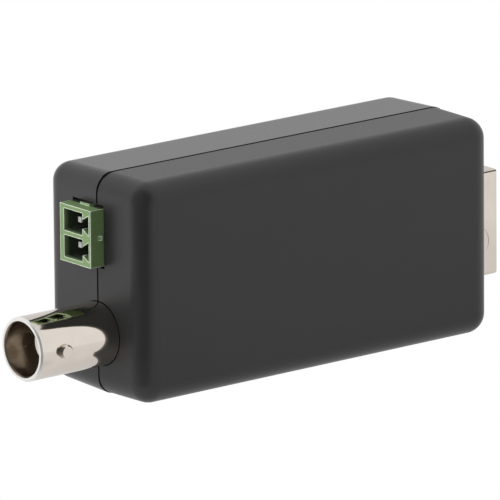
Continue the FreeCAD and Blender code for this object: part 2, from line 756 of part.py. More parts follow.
def make_bnc_insulator():
    piece = Piece("bnc_insulator")
    profile = piece.sketch("XY", COAX_Z)
    hole = d.contact_radius + d.press_play
    collar = d.bore_radius - d.press_play
    rear = d.seat_radius - d.press_play
    nose = BARREL_MOUTH + d.nose_setback
    seat = BARREL_MOUTH + d.bore_depth
    end = SIGNAL_TAIL_X - d.contact_radius - d.contact_recess
    outline(
        profile,
        [
            (nose, hole),
            (nose, d.nose_radius),
            (seat - d.collar_length, d.nose_radius),
            (seat - d.collar_length, collar),
            (seat, collar),
            (seat, rear),
            (end, rear),
            (end, hole),
        ],
    )
    piece.revolve(profile)


def make_bnc_contact():
    """Slotted centre socket, cross-drilled at the rear for the signal tail."""
    piece = Piece("bnc_centre_contact")
    profile = piece.sketch("XY", COAX_Z)
    front = BARREL_MOUTH + d.nose_setback + d.contact_recess
    end = SIGNAL_TAIL_X + d.contact_radius
    floor = front + d.contact_bore_depth
    outline(
        profile,
        [
            (front, d.contact_bore),
            (front, d.contact_radius),
            (end, d.contact_radius),
            (end, 0),
            (floor, 0),
            (floor, d.contact_bore),
        ],
    )
    piece.revolve(profile)
    half = d.contact_slot / 2
    slot = piece.sketch("YZ", front - CLEAR)
    rectangle(slot, -d.contact_radius * 2, COAX_Z - half, d.contact_radius * 2, COAX_Z + half)
    piece.pocket(slot, d.contact_bore_depth)
    cross = piece.sketch("XZ", -d.contact_radius - CLEAR)
    circle(cross, SIGNAL_TAIL_X, COAX_Z, d.tail_radius + d.press_play)
    piece.pocket(cross, (d.contact_radius + CLEAR) * 2)
    tail = rod(
        "bnc_signal_tail",
        "Y",
        (SIGNAL_TAIL_X, -d.contact_radius, COAX_Z),
        d.tail_radius,
        TAIL_END + d.contact_radius,
    )
    return tail


def make_bnc_cap():
    cap = rod(
        "bnc_rear_cap",
        "X",
        (BLOCK_END - d.cap_thickness, 0, COAX_Z),
        d.seat_radius - d.press_play,
        d.cap_thickness,
    )
    return cap


def make_terminal_housing():
    piece = Piece("terminal_housing")
    half = d.term_width / 2
    base = piece.sketch("YZ", TERM_FRONT)
    rectangle(base, TERM_NEAR, TERM_Z - half, d.board_face, TERM_Z + half)
    piece.pad(base, d.term_depth)
    cells = piece.sketch("YZ", TERM_FRONT)
    floor_y = d.board_face - d.term_floor
    near_y = TERM_NEAR + d.term_lip
    tooth_y = near_y + d.term_tooth_setback
    rib = d.term_wall / 2
    for low, high in (
        (TERM_Z - half + d.term_wall, TERM_Z - rib),
        (TERM_Z + rib, TERM_Z + half - d.term_wall),
    ):
        outline(
            cells,
            [
                (floor_y, low),
                (tooth_y, low),
                (tooth_y, low + d.term_tooth),
                (near_y, low + d.term_tooth_tip),
                (near_y, high - d.term_tooth_tip),
                (tooth_y, high - d.term_tooth),
                (tooth_y, high),
                (floor_y, high),
            ],
        )
    piece.pocket(cells, d.term_cell_depth)
    pins = piece.sketch("YZ", TERM_FRONT)
    level_y = d.board_face - d.term_pin_rise
    reach = d.term_pin / 2 + d.press_play
    for z in TERM_PINS:
        rectangle(pins, level_y - reach, z - reach, level_y + reach, z + reach)
    piece.pocket(pins, d.term_depth)
    rail = piece.sketch("YZ", TERM_FRONT + d.term_rail_setback)
    top = TERM_Z + half
    side = d.board_face - d.term_pin_rise
    rectangle(rail, side - d.term_rail_width, top - d.term_wall / 2, side, top + d.term_rail_height)
    piece.pad(rail, d.term_depth - d.term_rail_setback)
    nose = piece.sketch("XY", TERM_Z - d.term_wall / 2)
    start = CASE_START - d.term_wall * 1.6
    outline(
        nose,
        [
            (start, TERM_NEAR + d.term_lip / 2),
            (start, TERM_NEAR),
            (start + d.term_wall, TERM_NEAR - d.term_nose_height),
            (start + d.term_wall, TERM_NEAR + d.term_lip / 2),
        ],
    )
    piece.pad(nose, d.term_wall)


def bent_strip(label, path, thickness, width, z_centre, bends):
    """A flat strip bent in the XY plane: sharp at a corner of the path with no bend radius."""
    points = [FreeCAD.Vector(x, y, 0) for x, y in path]
    edges = []
    last = points[0]
    for before, corner, after, radius in zip(points, points[1:], points[2:], bends):
        back = (before - corner).normalize()
        ahead = (after - corner).normalize()
        half_turn = back.getAngle(ahead) / 2
        leg = radius / math.tan(half_turn)
        start = corner + back * leg
        end = corner + ahead * leg
        edges.append(Part.LineSegment(last, start).toShape())
        if radius > 0:
            centre = corner + (back + ahead).normalize() * (radius / math.sin(half_turn))
            middle = centre + (corner - centre).normalize() * radius
            edges.append(Part.Arc(start, middle, end).toShape())
        last = end
    edges.append(Part.LineSegment(last, points[-1]).toShape())
    spine = Part.Wire(edges)
    heading = (points[1] - points[0]).normalize()
    side = heading.cross(Z_AXIS)
    rise = Z_AXIS * (width / 2)
    corners = [
        points[0] + side * (thickness / 2) * a + rise * b
        for a, b in ((-1, -1), (1, -1), (1, 1), (-1, 1), (-1, -1))
    ]
    section = Part.makePolygon(corners)
    sharp_corners = 1
    shape = spine.makePipeShell([section], True, False, sharp_corners)
    made = DOC.addObject("Part::Feature", label)
    made.Shape = shape
    made.Placement = FreeCAD.Placement(FreeCAD.Vector(0, 0, z_centre), FreeCAD.Rotation())
    return made


def make_terminal_pins():
    pin = d.term_pin.value
    rise = (d.board_face - d.term_pin_rise).value
    tail = term_tail_x().value
    path = [
        (TERM_FRONT.value + d.term_pin_setback.value, rise),
        (tail, rise),
        (tail, TAIL_END.value),
    ]
    return [
        bent_strip(f"terminal_pin_{number}", path, pin, pin, z.value, [0])
        for number, z in enumerate(TERM_PINS, 1)
    ]


def make_jack_contacts():
    """Eight spring wires: tail, run over the insert, front bend and free tip."""
    wire = d.wire.value
    mouth = JACK_MOUTH.value
    base = d.board_face.value
    top = base - d.wire_level.value
    front = mouth - d.wire_front.value
    lip = wire * 1.5
    made = []
    for number in range(WIRE_COUNT):
        tail = wire_tail_x(number).value
        path = [
            (tail, TAIL_END.value),
            (tail, top),
            (front, top),
            (front - lip / 2, top + lip),
            (mouth - d.wire_tip_setback.value, base - d.wire_tip_level.value),
        ]
        label = f"jack_contact_{number + 1}"
        made.append(bent_strip(label, path, wire, wire, wire_z(number).value, [0, wire * 0.75, 0]))
    return made


def jack_block(label, front, back, low, high, half_width, centre=None):
    """A box in the jack: distances behind the mouth, heights above the board, half width."""
    middle = JACK_Z if centre is None else centre
    return block(
        label,
        (JACK_MOUTH - back, d.board_face - high, middle - half_width),
        (JACK_MOUTH - front, d.board_face - low, middle + half_width),
    )


def finger_shape(label, grow, centre_z, root):
    """Footprint of a grounding finger on the near wall: a strip with a round end."""
    half = d.finger_width / 2 + grow
    tip = d.finger_setback + d.finger_width / 2
    strip = jack_block(
        f"{label}_strip",
        tip,
        root,
        d.jack_height - CLEAR,
        d.jack_height + CLEAR,
        half,
        centre_z,
    )
    end = rod(f"{label}_end", "Y", (JACK_MOUTH - tip, JACK_NEAR - CLEAR, centre_z), half, CLEAR * 2)
    return joined(label, [strip, end])


def shield_blank():
    """The shield's outside: a block with bent front corners and long edges."""
    piece = Piece("shield_blank")
    front = piece.sketch("YZ", JACK_MOUTH - d.jack_depth)
    half = d.jack_width / 2
    rectangle(front, JACK_NEAR, JACK_Z - half, d.board_face, JACK_Z + half)
    piece.pad(front, d.jack_depth)
    near, mouth, base = JACK_NEAR.value, JACK_MOUTH.value, d.board_face.value

    def bent(edge):
        if level(edge, "y", base):
            return False
        return level(edge, "x", mouth) or (along(edge, X_AXIS) and level(edge, "y", near))

    piece.fillet(d.shield_bend, bent)
    return piece.body


def make_jack_shield():
    """Folded sheet shield: open underneath, port window in front, one bowed finger."""
    t = d.sheet_thickness
    half = d.jack_width / 2
    inner = jack_block("shield_inner", t, d.jack_depth - t, -CLEAR, d.jack_height - t, half - t)
    window = jack_block(
        "shield_window",
        -CLEAR,
        t * 2,
        d.port_floor - d.latch_notch_drop - t,
        d.port_floor + d.port_height + t,
        d.port_width / 2 + t,
    )
    root = d.finger_setback + d.finger_length
    finger_z = JACK_Z - d.finger_drop
    gap = finger_shape("finger_gap", d.finger_slot, finger_z, root)
    sheet = without("shield_sheet", shield_blank(), [inner, window, gap])
    bow_radius = (d.finger_length * d.finger_length) / (d.finger_bow * 8)
    x = JACK_MOUTH - d.finger_setback - d.finger_length / 2
    axis = (x, JACK_NEAR + bow_radius - d.finger_bow, JACK_Z - half)
    roll = rod("finger_roll", "Z", axis, bow_radius, d.jack_width)
    roll_inner = rod("finger_roll_inner", "Z", axis, bow_radius - t, d.jack_width)
    skin = without("finger_skin", roll, [roll_inner])
    finger = shared("finger", [skin, finger_shape("finger_form", size(0), finger_z, root + t / 4)])
    tabs = []
    for number, z in enumerate(shield_tab_places(), 1):
        middle = d.shield_tab_setback
        width = d.shield_tab_width / 2 - d.tongue_clearance
        low = d.board_face - TAIL_END
        name = f"shield_tab_{number}"
        tabs.append(jack_block(name, middle - width, middle + width, low, size(OVERLAP), t / 2, z))
    return joined("jack_shield", [sheet, finger] + tabs)


def make_jack_insert():
    """Moulded port: plug opening, stepped latch recess, comb slots and board pegs."""
    t = d.sheet_thickness + d.insert_play
    half = d.jack_width / 2 - t
    top = d.jack_height - t
    body = jack_block("insert_blank", t, d.insert_depth, size(0), top, half)
    roof = d.port_floor + d.port_height
    tools = [
        jack_block("port", -CLEAR, d.port_depth, d.port_floor, roof, d.port_width / 2),
        jack_block(
            "latch_recess",
            -CLEAR,
            d.port_depth,
            d.port_floor - d.latch_drop,
            d.port_floor + CLEAR,
            d.latch_width / 2,
        ),
        jack_block(
            "latch_notch",
            -CLEAR,
            d.port_depth,
            d.port_floor - d.latch_notch_drop,
            d.port_floor + CLEAR,
            d.latch_notch_width / 2,
        ),
    ]
    groove = d.wire / 2 + d.wire_play
    for number in range(WIRE_COUNT):
        z = wire_z(number)
        comb = jack_block(
            f"comb_{number + 1}",
            d.wire_front - d.wire * 2,
            d.comb_length,
            roof - CLEAR,
            d.jack_height,
            groove,
            z,
        )
        run = jack_block(
            f"run_{number + 1}",
            d.comb_length - CLEAR,
            d.insert_depth + CLEAR,
            d.wire_level - groove,
            d.jack_height,
            groove,
            z,
        )
        tools += [comb, run]
    moulding = without("insert_moulding", body, tools)
    pegs = [
        rod(
            f"peg_{number}",
            "Y",
            (JACK_MOUTH - d.peg_setback, d.board_face - OVERLAP, JACK_Z + d.peg_spacing / 2 * side),
            d.peg_radius,
            d.board_thickness + OVERLAP + d.lead_tail / 2,
        )
        for number, side in enumerate((-1, 1), 1)
    ]
    return joined("jack_insert", [moulding] + pegs)


def make_jack_carrier():
    """Rear block of the jack: the contact tails pass down through it to the board."""
    t = d.sheet_thickness + d.insert_play
    half = d.jack_width / 2 - t
    groove = d.wire / 2 + d.wire_play
    body = jack_block(
        "carrier_blank", d.insert_depth + d.insert_play, d.jack_depth - t, size(0), d.jack_height - t, half
    )
    tools = []
    for number in range(WIRE_COUNT):
        z = wire_z(number)
        behind = JACK_MOUTH - wire_tail_x(number)
        tools.append(
            jack_block(
                f"carrier_run_{number + 1}",
                d.insert_depth - CLEAR,
                behind + groove,
                d.wire_level - groove,
                d.jack_height,
                groove,
                z,
            )
        )
        tools.append(
            jack_block(
                f"carrier_drop_{number + 1}",
                behind - groove,
                behind + groove,
                -CLEAR,
                d.jack_height,
                groove,
                z,
            )
        )
    return without("jack_contact_carrier", body, tools)


def lead_row(piece, plane, half, height, pitch, lead, count):
    """Gull-wing leads on two opposite sides of a chip, resting on the board at Y = 0."""
    t = d.lead_thickness
    shoulder = height / 2
    knee = half + d.lead_knee
    row = pitch * (count - 1)
    profile = piece.sketch(plane, -(row + lead) / 2)
    bend = [
        (half - t, -shoulder),
        (knee + t, -shoulder),
        (knee + t, -t),
        (half + d.lead_reach, -t),
        (half + d.lead_reach, size(0)),
        (knee, size(0)),
        (knee, t - shoulder),
        (half - t, t - shoulder),
    ]
    for side in (1, -1):
        points = [(out * side, up) for out, up in bend]
        outline(profile, points if plane == "XY" else [(up, out) for out, up in points])
    leads = piece.pad(profile, lead)
    if count > 1:
        piece.repeat(leads, profile, row, count)


def first_pin_mark(piece, height, half_x, half_z):
    """A shallow three-cornered recess at one corner of a package."""
    mark = piece.sketch("XZ", -height)
    near, far = d.lead_knee, d.lead_knee * 2
    corners = [(near - half_x, half_z - near), (near - half_x, half_z - far), (far - half_x, half_z - near)]
    outline(mark, corners)
    piece.pocket(mark, d.lead_thickness / 2)


def make_chip(label, x, z, leads_x=0, leads_z=0):
    """A moulded package at a board place, with leads on its X sides, its Z sides or both."""
    parts = ("length", "width", "height", "pitch", "lead")
    length, width, height, pitch, lead = [S[f"{label}_{part}"] for part in parts]
    piece = Piece(label)
    form = piece.sketch("XZ", -d.chip_standoff)
    rectangle(form, -length / 2, -width / 2, length / 2, width / 2)
    piece.pad(form, height - d.chip_standoff, towards_minus=True)
    piece.chamfer(d.lead_thickness, lambda e: level(e, "y", -height.value))
    first_pin_mark(piece, height, length / 2, width / 2)
    if leads_x:
        lead_row(piece, "XY", length / 2, height, pitch, lead, leads_x)
    if leads_z:
        lead_row(piece, "YZ", width / 2, height, pitch, lead, leads_z)
    place(piece.body, x, d.board_face, z)


def make_can_capacitor(label, x, z):
    """An aluminium can on a square plastic base with two cut corners."""
    radius, height = S[f"{label}_radius"], S[f"{label}_height"]
    piece = Piece(label)
    profile = piece.sketch("XY", 0)
    outline(
        profile,
        [
            (size(0), size(0)),
            (radius, size(0)),
            (radius, -height + d.can_shoulder),
            (radius - d.can_shoulder, -height),
            (size(0), -height),
        ],
    )
    piece.revolve(profile, "V_Axis")
    base = piece.sketch("XZ", 0)
    half = radius + d.can_margin
    cut = radius / 2
    corners = [(-half, -half), (half - cut, -half), (half, cut - half)]
    corners += [(half, half - cut), (half - cut, half), (-half, half)]
    outline(base, corners)
    piece.pad(base, d.can_base, towards_minus=True)
    place(piece.body, x, d.board_face, z)


def make_power_inductor(x, z):
    piece = Piece("power_inductor")
    half = d.inductor_side / 2
    form = piece.sketch("XZ", 0)
    rectangle(form, -half, -half, half, half)
    piece.pad(form, d.inductor_height, towards_minus=True)
    piece.chamfer(d.inductor_groove * 2, lambda e: along(e, Y_AXIS))
    ring = piece.sketch("XZ", -d.inductor_height)
    circle(ring, 0, 0, d.inductor_ring + d.inductor_groove)
    circle(ring, 0, 0, d.inductor_ring)
    piece.pocket(ring, d.inductor_groove)
    place(piece.body, x, d.board_face, z)


def make_surge_arrester(x, z):
    """A gas-filled ceramic tube between two square electrode plates."""
    piece = Piece("surge_arrester")
    half = d.arrester_length / 2
    edge = d.arrester_radius
    tube = piece.sketch("YZ", -half)
    circle(tube, 0, 0, edge - d.arrester_waist)
    piece.pad(tube, d.arrester_length)
    for start in (-half, half - d.arrester_cap):
        plate = piece.sketch("YZ", start)
        rectangle(plate, -edge, -edge, edge, edge)
        piece.pad(plate, d.arrester_cap)
    place(piece.body, x, d.board_face - edge, z)


def stadium(label, x, z, low, high, length, width):
    """A flat-sided oval that stands on the board between two heights."""
    straight = (length - width) / 2
    middle = block(
        f"{label}_middle",
        (x - straight, d.board_face - high, z - width / 2),
        (x + straight, d.board_face - low, z + width / 2),
    )
    ends = [
        rod(f"{label}_end_{i}", "Y", (x + straight * side, d.board_face - high, z), width / 2, high - low)
        for i, side in enumerate((-1, 1))
    ]
    return joined(label, [middle] + ends)


def make_clock_crystal(x, z):
    grow = d.clock_flange * 2
    foot = stadium("clock_foot", x, z, size(0), d.clock_flange, d.clock_length, d.clock_width)
    can = stadium(
        "clock_can", x, z, size(0), d.clock_height, d.clock_length - grow, d.clock_width - grow
    )
    return joined("clock_crystal", [foot, can])


def make_modem_crystal(x, z):
    """Ceramic tray with a welded metal lid."""
    lid = d.lead_thickness
    length, width, height = d.modem_crystal_length, d.modem_crystal_width, d.modem_crystal_height - lid
    tray = board_block("crystal_tray", x, z, length, width, size(0), height)
    cover = board_block(
        "crystal_lid",
        x,
        z,
        d.modem_crystal_length - lid * 2,
        d.modem_crystal_width - lid * 2,
        d.modem_crystal_height - lid,
        d.modem_crystal_height,
    )
    return joined("modem_crystal", [tray, cover])


def board_block(label, x, z, length, width, low, high):
    """A box centred on a board place, between two heights above the board."""
    return block(
        label,
        (x - length / 2, d.board_face - high, z - width / 2),
        (x + length / 2, d.board_face - low, z + width / 2),
    )


def make_leadless_chip(label, x, z):
    """Leadless package: the body stands on one exposed pad."""
    side, height = S[f"{label}_side"], S[f"{label}_height"]
    piece = Piece(label)
    half = side / 2
    form = piece.sketch("XZ", -d.chip_standoff)
    rectangle(form, -half, -half, half, half)
    piece.pad(form, height - d.chip_standoff, towards_minus=True)
    lands = piece.sketch("XZ", 0)
    pad = half - d.lead_reach
    rectangle(lands, -pad, -pad, pad, pad)
    piece.pad(lands, d.chip_standoff, towards_minus=True)
    first_pin_mark(piece, height, half, half)
    place(piece.body, x, d.board_face, z)


def make_fuse(x, z):
    """A ceramic chip fuse with a metal cap at each end."""
    cap = d.small_cap
    margin = d.lead_thickness / 4
    shift = (d.fuse_length - cap) / 2
    low = size(0)
    middle = board_block(
        "fuse_middle", x, z, d.fuse_length - cap, d.fuse_width - margin * 2, low, d.fuse_height - margin
    )
    ends = [
        board_block(f"fuse_end_{i}", x + shift * side, z, cap, d.fuse_width, low, d.fuse_height)
        for i, side in enumerate((-1, 1))
    ]
    return joined("input_fuse", [middle] + ends)


def small_row(label, x, z, count, height, step_x, step_z):
    """A row of small parts, each turned across the row."""
    length, width = d.small_length, d.small_width
    if step_x:
        length, width = width, length
    row = []
    for i in range(count):
        shift = d.small_pitch * (i - (count - 1) / 2)
        at_x, at_z = x + shift * step_x, z + shift * step_z
        row.append(board_block(f"{label}_{i + 1}", at_x, at_z, length, width, size(0), height))
    return row


def make_board_parts():
    """Everything that sits on the component face, laid out from the sockets."""
    gap = d.part_gap
    low_boss_x, low_boss_z = BOSSES[1]
    high_post_x, high_post_z = POSTS[1]
    jack_rear = JACK_MOUTH - d.jack_depth
    network_x = jack_rear - gap - d.ethernet_transformer_length / 2 - d.lead_reach
    coax_x = BLOCK_END + gap + d.coax_transformer_length / 2
    coax_z = low_boss_z + d.near_boss_radius + gap + d.coax_transformer_width / 2 + d.lead_reach
    modem_x = (network_x + coax_x) / 2 - gap / 2
    modem_half = d.modem_chip_side / 2
    modem_z = JACK_Z + gap
    make_chip("ethernet_transformer", network_x, JACK_Z, leads_x=8)
    make_chip("coax_transformer", coax_x, coax_z, leads_z=3)
    make_leadless_chip("modem_chip", modem_x, modem_z)
    memory_z = modem_z + modem_half + gap + d.memory_chip_width / 2 + d.lead_reach
    make_chip("memory_chip", modem_x + gap, memory_z, leads_z=4)
    converter_x = modem_x - d.memory_chip_length / 2 - gap / 2 - d.converter_chip_length / 2
    make_chip("converter_chip", converter_x, memory_z, leads_z=3)
    term_rear = term_tail_x() + d.term_pin
    inductor_x = term_rear + gap + d.inductor_side / 2
    make_power_inductor(inductor_x, TERM_Z)
    diode_z = TERM_Z - (d.inductor_side + d.input_diode_width) / 2 - gap
    make_chip("input_diode", inductor_x, diode_z, leads_x=1)
    can_x = inductor_x + (d.inductor_side / 2 + gap + d.input_capacitor_radius + d.can_margin)
    can_z = high_post_z - d.post_radius - gap / 2 - d.input_capacitor_radius - d.can_margin
    make_can_capacitor("input_capacitor", can_x, can_z)
    can_z = JACK_Z + d.ethernet_transformer_width / 2 + gap + d.output_capacitor_radius + d.can_margin
    make_can_capacitor("output_capacitor", network_x, can_z)
    make_surge_arrester(low_boss_x + d.near_boss_radius + gap + d.arrester_length / 2, low_boss_z)
    chip_x = network_x - (d.clock_length + d.network_chip_side) / 2 - gap
    chip_z = modem_z - modem_half - gap - d.network_chip_side / 2
    make_leadless_chip("network_chip", chip_x, chip_z)
    clock_z = JACK_Z - (d.ethernet_transformer_width + d.clock_width) / 2 - gap
    can_edge = network_x - d.output_capacitor_radius - d.can_margin
    crystal_x = can_edge - gap - d.modem_crystal_length / 2
    parts = [
        make_clock_crystal(network_x, clock_z),
        make_modem_crystal(crystal_x, memory_z),
        make_fuse(
            TERM_FRONT + d.term_depth - d.fuse_length / 2,
            (COAX_Z + d.block_width / 2 + TERM_Z - d.term_width / 2) / 2,
        ),
    ]
    side = modem_half + gap / 2 + d.small_length / 2
    height = d.small_capacitor_height
    capacitors = small_row("coax_side_capacitor", modem_x - side, modem_z, 4, height, 0, 1)
    capacitors += small_row("jack_side_capacitor", modem_x + side, modem_z, 4, height, 0, 1)
    resistor_z = d.case_height - d.wall - d.board_clearance - gap - d.small_length / 2
    height = d.small_resistor_height
    resistors = small_row("supply_resistor", inductor_x, resistor_z, 4, height, 1, 0)
    parts.append(joined_apart("small_capacitors", capacitors))
    parts.append(joined_apart("small_resistors", resistors))
    return parts


def finish():
    """Works everything out and stops where an object failed."""
    DOC.recompute()
    bad = [o.Name for o in DOC.Objects if "Invalid" in o.State or "Error" in o.State]
    if bad:
        raise RuntimeError(f"objects that failed: {bad}")


def centre_across(made):
    """Moves a node from the frame of the parting plane to that of the whole extender."""
    held = {path.lstrip("."): text for path, text in made.ExpressionEngine}
    drawn_at = held.get("Placement.Base.y", "0")
    made.setExpression("Placement.Base.y", f"{drawn_at} + {MIDDLE.text}")


def export(nodes):
    os.makedirs("parts", exist_ok=True)
    for made in nodes:
        shape = made.Shape
        if shape.isNull() or not shape.isValid() or not shape.Solids:
            raise RuntimeError(f"{made.Label} has no valid solid")
        shape.exportStep(f"parts/{made.Label}.step")
        print(made.Label, len(shape.Solids), round(shape.Volume, 2))


make_near_cover()
make_rear_cover()
make_circuit_board()
make_bnc_body()
make_bnc_insulator()
make_terminal_housing()
SINGLES = [
    make_case_screws(),
    make_bayonet_studs(),
    make_bnc_contact(),
    make_bnc_cap(),
    make_jack_shield(),
    make_jack_insert(),
    make_jack_carrier(),
]
SINGLES += make_terminal_pins()
SINGLES += make_jack_contacts()
SINGLES += make_board_parts()
BODIES = [o for o in DOC.Objects if o.TypeId == "PartDesign::Body" and not o.InList]
NODES = BODIES + SINGLES
for node in NODES:
    centre_across(node)
finish()
export(NODES)
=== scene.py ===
"""The look of the ethernet over coax extender: materials, moulded detail, studio and camera."""
import bpy
import json
import math
from mathutils import Matrix, Vector


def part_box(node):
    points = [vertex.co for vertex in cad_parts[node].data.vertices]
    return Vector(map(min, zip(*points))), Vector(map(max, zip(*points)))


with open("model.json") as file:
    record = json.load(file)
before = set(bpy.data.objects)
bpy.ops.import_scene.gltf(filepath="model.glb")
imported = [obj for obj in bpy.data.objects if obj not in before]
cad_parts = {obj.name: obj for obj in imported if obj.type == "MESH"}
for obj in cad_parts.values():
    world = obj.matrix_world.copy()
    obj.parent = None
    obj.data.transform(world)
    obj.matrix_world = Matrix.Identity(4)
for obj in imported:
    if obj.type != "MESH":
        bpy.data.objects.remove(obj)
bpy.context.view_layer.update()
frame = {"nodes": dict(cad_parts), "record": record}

NODES = frame["nodes"]

# Places in the part's frame, in metres.
PARTING_Y = -0.00115
SHADOW_GAP = 0.0003
GROOVE_EDGE = 0.00015
BARREL_Z = 0.0096
BORE_RADIUS = 0.0042
# Width of the pale band on the header's edges: a painted highlight with some wear.
EDGE_HIGHLIGHT_AND_WEAR = 0.0002
HEADER_WALL = 0.0004
RAIL_RISE = 0.00027
CASE_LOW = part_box("near_cover")[0]
HEADER_LOW, HEADER_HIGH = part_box("terminal_housing")
SHIELD_LOW, SHIELD_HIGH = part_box("jack_shield")
# The coax mouth's rim is painted near white up to here, as a painted highlight.
MOUTH_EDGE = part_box("bnc_body")[0][0] + 0.00032
# The pins' tips are painted near white up to here, as a painted highlight.
PIN_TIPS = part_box("terminal_pin_1")[0][0] + 0.00025


# Materials

def shader_graph(name):
    """A new material with its node list, its links and its main shader."""
    material = bpy.data.materials.new(name)
    material.use_nodes = True
    nodes = material.node_tree.nodes
    links = material.node_tree.links
    shader = nodes["Principled BSDF"]
    return material, nodes, links, shader


def object_place(nodes):
    """The place on the part, in metres."""
    return nodes.new("ShaderNodeTexCoord").outputs["Object"]


def split_axes(nodes, links, vector):
    """The X, Y and Z of a vector."""
    made = nodes.new("ShaderNodeSeparateXYZ")
    links.new(vector, made.inputs["Vector"])
    return made.outputs["X"], made.outputs["Y"], made.outputs["Z"]


def vector_step(nodes, links, operation, first, second=None):
    """One step of vector arithmetic on an output and a second output or a constant."""
    made = nodes.new("ShaderNodeVectorMath")
    made.operation = operation
    links.new(first, made.inputs[0])
    if isinstance(second, (tuple, Vector)):
        made.inputs[1].default_value = second
    elif second is not None:
        links.new(second, made.inputs[1])
    return made


def noise(nodes, links, place, scale, detail=2.0, stretch=None):
    """Soft noise of so many waves a metre, stretched along an axis where asked."""
    if stretch:
        mapping = nodes.new("ShaderNodeMapping")
        mapping.inputs["Scale"].default_value = stretch
        links.new(place, mapping.inputs["Vector"])
        place = mapping.outputs["Vector"]
    made = nodes.new("ShaderNodeTexNoise")
    made.inputs["Scale"].default_value = scale
    made.inputs["Detail"].default_value = detail
    links.new(place, made.inputs["Vector"])
    return made.outputs["Fac"]


def spread(nodes, links, value, low, high, start=0.3, end=0.7):
    """Turns a noise into a number between low and high."""
    made = nodes.new("ShaderNodeMapRange")
    made.inputs["From Min"].default_value = start
    made.inputs["From Max"].default_value = end
    made.inputs["To Min"].default_value = low
    made.inputs["To Max"].default_value = high
    links.new(value, made.inputs["Value"])
    return made.outputs["Result"]


def tint(nodes, links, value, low, high):
    """Turns a noise into a colour between two."""
    ramp = nodes.new("ShaderNodeValToRGB")
    ramp.color_ramp.elements[0].position = 0.3
    ramp.color_ramp.elements[0].color = (*low, 1.0)
    ramp.color_ramp.elements[1].position = 0.7
    ramp.color_ramp.elements[1].color = (*high, 1.0)
    links.new(value, ramp.inputs["Fac"])
    return ramp.outputs["Color"]


def relief(nodes, links, shader, height, depth):
    """Bumps of a depth in metres."""
    bump = nodes.new("ShaderNodeBump")
    bump.inputs["Distance"].default_value = depth
    bump.inputs["Strength"].default_value = 1.0
    links.new(height, bump.inputs["Height"])
    links.new(bump.outputs["Normal"], shader.inputs["Normal"])


def sum_up(nodes, links, operation, first, second):
    """One step of arithmetic on two outputs or numbers."""
    made = nodes.new("ShaderNodeMath")
    made.operation = operation
    for socket, given in zip(made.inputs, (first, second)):
        if isinstance(given, (int, float)):
            socket.default_value = given
        else:
            links.new(given, socket)
    return made.outputs["Value"]


def mixed(nodes, links, share, first, second):
    """Blends the colour or number that reaches a socket with a second one."""
    made = nodes.new("ShaderNodeMix")
    made.data_type = "RGBA" if isinstance(second, tuple) else "FLOAT"
    kind = "Color" if isinstance(second, tuple) else "Float"
    sockets = {socket.identifier: socket for socket in made.inputs}
    links.new(share, sockets["Factor_Float"])
    links.new(first, sockets[f"A_{kind}"])
    sockets[f"B_{kind}"].default_value = second
    return next(socket for socket in made.outputs if socket.identifier == f"Result_{kind}")


def ramped(nodes, links, value, given, wanted):
    """Takes the given range softly to the wanted one."""
    made = nodes.new("ShaderNodeMapRange")
    made.interpolation_type = "SMOOTHSTEP"
    made.inputs["From Min"].default_value, made.inputs["From Max"].default_value = given
    made.inputs["To Min"].default_value, made.inputs["To Max"].default_value = wanted
    links.new(value, made.inputs["Value"])
    return made.outputs["Result"]


def moulded(
    name, dark, light, rough, grain, depth,
    patches=60.0, metal=0.0, gloss=0.5, painted_shade=None, painted_edges=None,
):
    """Moulded or cast surface: faint patches of tone, fine grain in gloss and relief.

    A shade mask, where given, darkens it with painted shade; an edge colour, where given, paints its
    edges pale as a painted highlight with some wear.
    """
    material, nodes, links, shader = shader_graph(name)
    place = object_place(nodes)
    shader.inputs["Metallic"].default_value = metal
    shader.inputs["Specular IOR Level"].default_value = gloss
    clouds = noise(nodes, links, place, patches, 3.0)
    colour = tint(nodes, links, clouds, dark, light)
    fine = noise(nodes, links, place, grain)
    roughness = spread(nodes, links, fine, rough - 0.04, rough + 0.04)
    # Pale edges: a painted highlight with some wear.
    if painted_edges:
        colour = mixed(nodes, links, edges_worn_and_highlit(nodes, links, place), colour, (*painted_edges, 1.0))
    # Painted shade: near black and fully rough where the mask is 1.
    if painted_shade:
        share = painted_shade(nodes, links, place)
        colour = mixed(nodes, links, share, colour, (0.001, 0.001, 0.001, 1.0))
        roughness = mixed(nodes, links, share, roughness, 1.0)
    links.new(colour, shader.inputs["Base Color"])
    links.new(roughness, shader.inputs["Roughness"])
    relief(nodes, links, shader, fine, depth)
    return material


def within(nodes, links, value, low, high):
    """1 where a number lies between two others."""
    above = sum_up(nodes, links, "GREATER_THAN", value, low)
    below = sum_up(nodes, links, "LESS_THAN", value, high)
    return sum_up(nodes, links, "MULTIPLY", above, below)


def facing_up(nodes, links):
    """1 on surfaces that look upwards."""
    normal = nodes.new("ShaderNodeNewGeometry").outputs["Normal"]
    rise = split_axes(nodes, links, normal)[2]
    return sum_up(nodes, links, "GREATER_THAN", rise, 0.8)


def joint_shade(nodes, links, place):
    """Painted shade: 1 in the groove between the shells, and on a band along its upper edges."""
    across = split_axes(nodes, links, place)[1]
    hair = 0.00001
    groove = within(nodes, links, across, PARTING_Y - hair, PARTING_Y + SHADOW_GAP + hair)
    painted_edges = within(nodes, links, across, PARTING_Y - GROOVE_EDGE, PARTING_Y + SHADOW_GAP + GROOVE_EDGE)
    upper = sum_up(nodes, links, "MULTIPLY", painted_edges, facing_up(nodes, links))
    return sum_up(nodes, links, "MAXIMUM", groove, upper)


